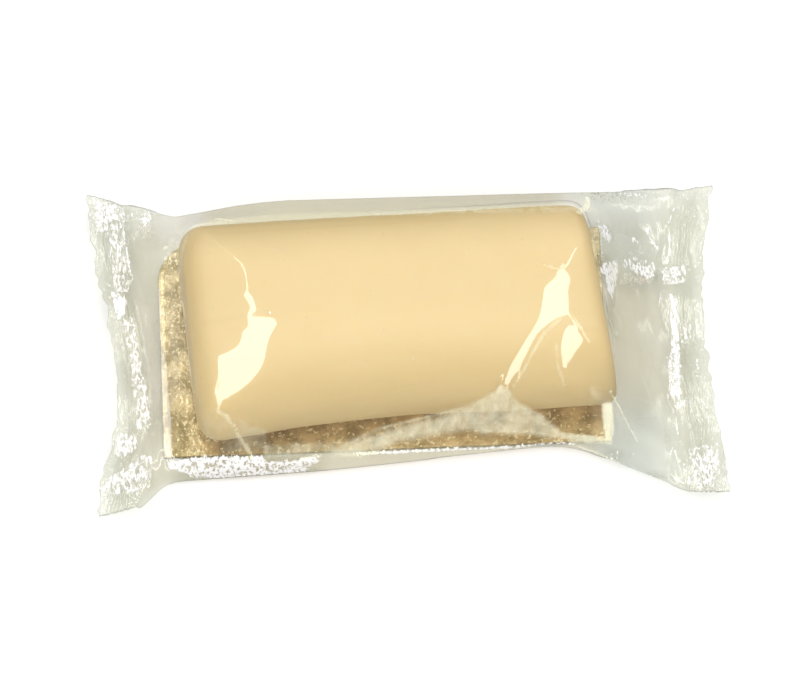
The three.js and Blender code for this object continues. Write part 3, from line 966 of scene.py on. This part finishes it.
def pull_tight(film, log, card):
    """Pulls the film onto the log and the card, and lets it and the log down over the facets."""
    for target in (log, card):
        finish_modifier(film, "SHRINKWRAP", target=target, wrap_mode="OUTSIDE", offset=FILM_GAP)
    ease(film, fade(coords(film)[:, 2] / MM, *SMOOTHED_TOP), SMOOTHED_TOP_TIMES)
    for name, size, depth in LOG_DENTS:
        lumps(log, name, size, depth)
    press_ends(log, *LOG_SOFTNESS)
    press_ends(film, *FILM_SOFTNESS)
    finish_modifier(film, "SHRINKWRAP", target=log, wrap_mode="OUTSIDE", offset=FILM_GAP / 4)
    lift_tail(film)
    lift_lobe(film)
    x, y = coords(film).T[:2] / MM
    push(film, fade(y, *SLACK_ACROSS) * fade(x, *SLACK_ALONG), BACK_SLACK, "Y")


def wrinkle_ends(film):
    """Wrinkles the loose ends, and gives back where the film is loose and where it stays quiet."""
    x, y, z = coords(film).T / MM
    ends = np.maximum(fade(-x, *LEFT_END), fade(x, *RIGHT_END)) * fade(z, *ENDS_HEIGHT)
    quiet = fade(x, *QUIET_ALONG) * fade(y, *QUIET_ACROSS) * (x > 0)
    ease(film, quiet * (x > QUIET_SMOOTHED_FROM), QUIET_TIMES)
    for name, size, depth, stretch in LOOSE_WRINKLES:
        crumple(film, ends * (1 - quiet), name, size, depth, stretch)
    crumple(film, fade(np.abs(x), *CUT_ENDS), *CUT_END_WAVES, "X")
    return ends, quiet


def raise_creases(film, points):
    """Raises creases and streaks, and gives back at each point how much painted haze and how much white of
    painted glints the film has.
    """
    x, y, z = points.T / MM
    painted_haze_amount = np.zeros(len(points))
    glint_white = np.zeros(len(points))
    for path, height, reach, steep, amount in CREASES:
        near = nearness(points, lay_on(film, path), reach * MM, steep)
        if height:
            push(film, near ** 1.5, height * MM)
        painted_haze_amount = np.maximum(painted_haze_amount, amount * near)
    for path, reach, amount in SEAL_STREAKS + FRONT_LINES:
        near = nearness(points, lay_on(film, path), reach * MM)
        push(film, near ** 1.5, STREAK_HEIGHT)
        glint_white = np.maximum(glint_white, amount * near)
    for outline, soft, amount in VEILS:
        painted_haze_amount = np.maximum(painted_haze_amount, amount * within(x, y, outline, soft) * (z > UPPER_PLY))
    for outline, soft, amount in PAINTED_GLINT_PATCHES:
        glint_white = np.maximum(glint_white, amount * within(x, y, outline, soft) * (z > UPPER_PLY))
    return painted_haze_amount, glint_white


def film_crinkle(x, y, ends):
    """How crumpled the film is at each point, which also sets its white specks of painted glints."""
    crinkle_and_glints = np.maximum(CRIMPED_CRINKLE * fade(np.abs(x), *CRIMPED_ENDS), LOOSE_CRINKLE * ends)
    for (middle_x, middle_y), (along, across), amount in CRUMPLES:
        away = ((x - middle_x) / along) ** 2 + ((y - middle_y) / across) ** 2
        crinkle_and_glints = np.maximum(crinkle_and_glints, amount * np.exp(-away ** 2))
    return crinkle_and_glints


def tinted(colours, others, amounts):
    """Mixes colours into others by an amount at each point."""
    share = np.clip(amounts, 0, 1)[:, None]
    return colours + share * (np.array(others) - colours)


def film_tints(x, y, crinkle_and_glints):
    """The film's tint at each point: greyer in the seals, with painted shade at the right end and a painted
    reflection of the log, darker and warmer, along the back.
    """
    shaded = fade(x, *SHADE_BEGINS) * fade(x, *SHADE_ENDS) * fade(np.abs(y - SHADE_MIDDLE), *SHADE_SIDES)
    shaded *= np.where(y < 0, SHADE_IN_FRONT, SHADE_BEHIND)
    back = fade(y, *BACK_STRIP) * fade(np.abs(x - BACK_STRIP_MIDDLE), *BACK_STRIP_ENDS)
    tint = tinted(np.array(FILM_TINT), SEAL_TINT, crinkle_and_glints)
    tint = tinted(tint, tint * SHADE_TINT, shaded)
    return tinted(tint, tint * PAINTED_BACK_REFLECTION, back)


def make_film(log, card):
    film = film_net()
    pull_tight(film, log, card)
    ends, quiet = wrinkle_ends(film)
    points = coords(film)
    x, y = points.T[:2] / MM
    painted_haze_amount, glint_white = raise_creases(film, points)
    crinkle_and_glints = film_crinkle(x, y, ends)
    # The painted glints, the painted haze and its cream over the log go to the material as attributes
    mark(film, "crease", glint_white)
    mark(film, "painted_haze", painted_haze_amount)
    mark(film, "painted_warmth", np.clip(PAINTED_WARMTH_GAIN * painted_haze_amount, 0, 1) * fade(np.abs(x), *PAINTED_WARMTH_REACH))
    mark(film, "dull", QUIET_DULLNESS * quiet * (x > QUIET_DULL_FROM))
    mark(film, "crinkle_and_glints", crinkle_and_glints)
    layer = film.data.attributes.new("tint", "FLOAT_COLOR", "POINT")
    layer.data.foreach_set("color", film_tints(x, y, crinkle_and_glints).astype(np.float32).ravel())
    pick_only(film)
    bpy.ops.object.shade_smooth()
    film.data.materials.append(film_material())
    return film


# Floor, light and camera

def make_floor():
    bpy.ops.object.select_all(action="DESELECT")
    bpy.ops.mesh.primitive_plane_add(size=FLOOR_SIZE, location=(0, 0, -FLOOR_DROP))
    floor = bpy.context.object
    floor.name = "floor"
    material, nodes, links = new_material("pale_floor")
    out = add_node(nodes, "ShaderNodeOutputMaterial")
    shader = add_node(nodes, "ShaderNodeBsdfDiffuse")
    ray = add_node(nodes, "ShaderNodeLightPath")
    bounced = add_range(nodes, 0, 1, FLOOR_MIRRORED, FLOOR_BOUNCED)
    shade = add_node(nodes, "ShaderNodeMath", operation="MAXIMUM")
    seen = add_node(nodes, "ShaderNodeMath", {1: FLOOR_SEEN}, operation="MULTIPLY")
    links.new(ray.outputs["Is Diffuse Ray"], bounced.inputs["Value"])
    links.new(ray.outputs["Is Camera Ray"], seen.inputs[0])
    links.new(bounced.outputs["Result"], shade.inputs[0])
    links.new(seen.outputs[0], shade.inputs[1])
    links.new(shade.outputs[0], shader.inputs["Color"])
    links.new(shader.outputs[0], out.inputs["Surface"])
    floor.data.materials.append(material)


def add_softbox(name, side, back):
    """A flat light that faces the pack and runs from high up to low in front."""
    back = Vector(back)
    front = Vector((side * STRIP_FRONT[0], *STRIP_FRONT[1:]))
    light = bpy.data.lights.new(name, "AREA")
    light.shape = "RECTANGLE"
    light.size = (back - front).length
    light.size_y = STRIP_WIDTH
    light.energy = STRIP_RADIANCE * math.pi * light.size * light.size_y
    lamp = bpy.data.objects.new(name, light)
    bpy.context.scene.collection.objects.link(lamp)
    place = (back + front) / 2
    long = (back - front).normalized()
    away = place - CAMERA_AIM
    away = (away - away.dot(long) * long).normalized()
    turn = Matrix((long, away.cross(long), away)).transposed().to_4x4()
    lamp.matrix_world = Matrix.Translation(place) @ turn


def make_lights():
    add_softbox("left_strip", -1, LEFT_STRIP_BACK)
    add_softbox("right_strip", 1, RIGHT_STRIP_BACK)
    world = bpy.data.worlds.new("studio")
    world.use_nodes = True
    nodes, links = world.node_tree.nodes, world.node_tree.links
    sky = nodes["Background"]
    way = add_node(nodes, "ShaderNodeTexCoord")
    lobe = add_node(nodes, "ShaderNodeVectorMath", operation="DOT_PRODUCT")
    lobe.inputs[1].default_value = Vector(SKY_MIDDLE).normalized()
    glow = add_range(nodes, 0, 1, SKY_DIM, SKY_BRIGHT, "SMOOTHSTEP")
    links.new(way.outputs["Generated"], lobe.inputs[0])
    links.new(lobe.outputs["Value"], glow.inputs["Value"])
    links.new(glow.outputs["Result"], sky.inputs["Strength"])
    sky.inputs["Color"].default_value = (1, 1, 1, 1)
    bpy.context.scene.world = world
    bpy.context.scene.view_settings.view_transform = "Standard"


def make_camera():
    camera = bpy.data.cameras.new("camera")
    camera.sensor_fit = "HORIZONTAL"
    camera.sensor_width = SENSOR_WIDTH
    camera.lens = SENSOR_WIDTH * CAMERA_DISTANCE / (PHOTO_WIDTH / PIXELS_PER_MM * MM)
    camera.clip_end = 20
    holder = bpy.data.objects.new("camera", camera)
    bpy.context.scene.collection.objects.link(holder)
    back = Vector((
        math.sin(CAMERA_AZIMUTH) * math.cos(CAMERA_ELEVATION),
        -math.cos(CAMERA_AZIMUTH) * math.cos(CAMERA_ELEVATION),
        math.sin(CAMERA_ELEVATION),
    ))
    holder.location = CAMERA_AIM + CAMERA_DISTANCE * back
    holder.rotation_euler = back.to_track_quat("Z", "Y").to_euler()
    bpy.context.scene.camera = holder


log = make_log()
card = make_card()
film = make_film(log, card)
make_floor()
make_lights()
make_camera()

for piece, slot in ((film, "film"), (log, "marzipan"), (card, "gold_card")):
    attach(piece, "root")
    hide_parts(BAG)
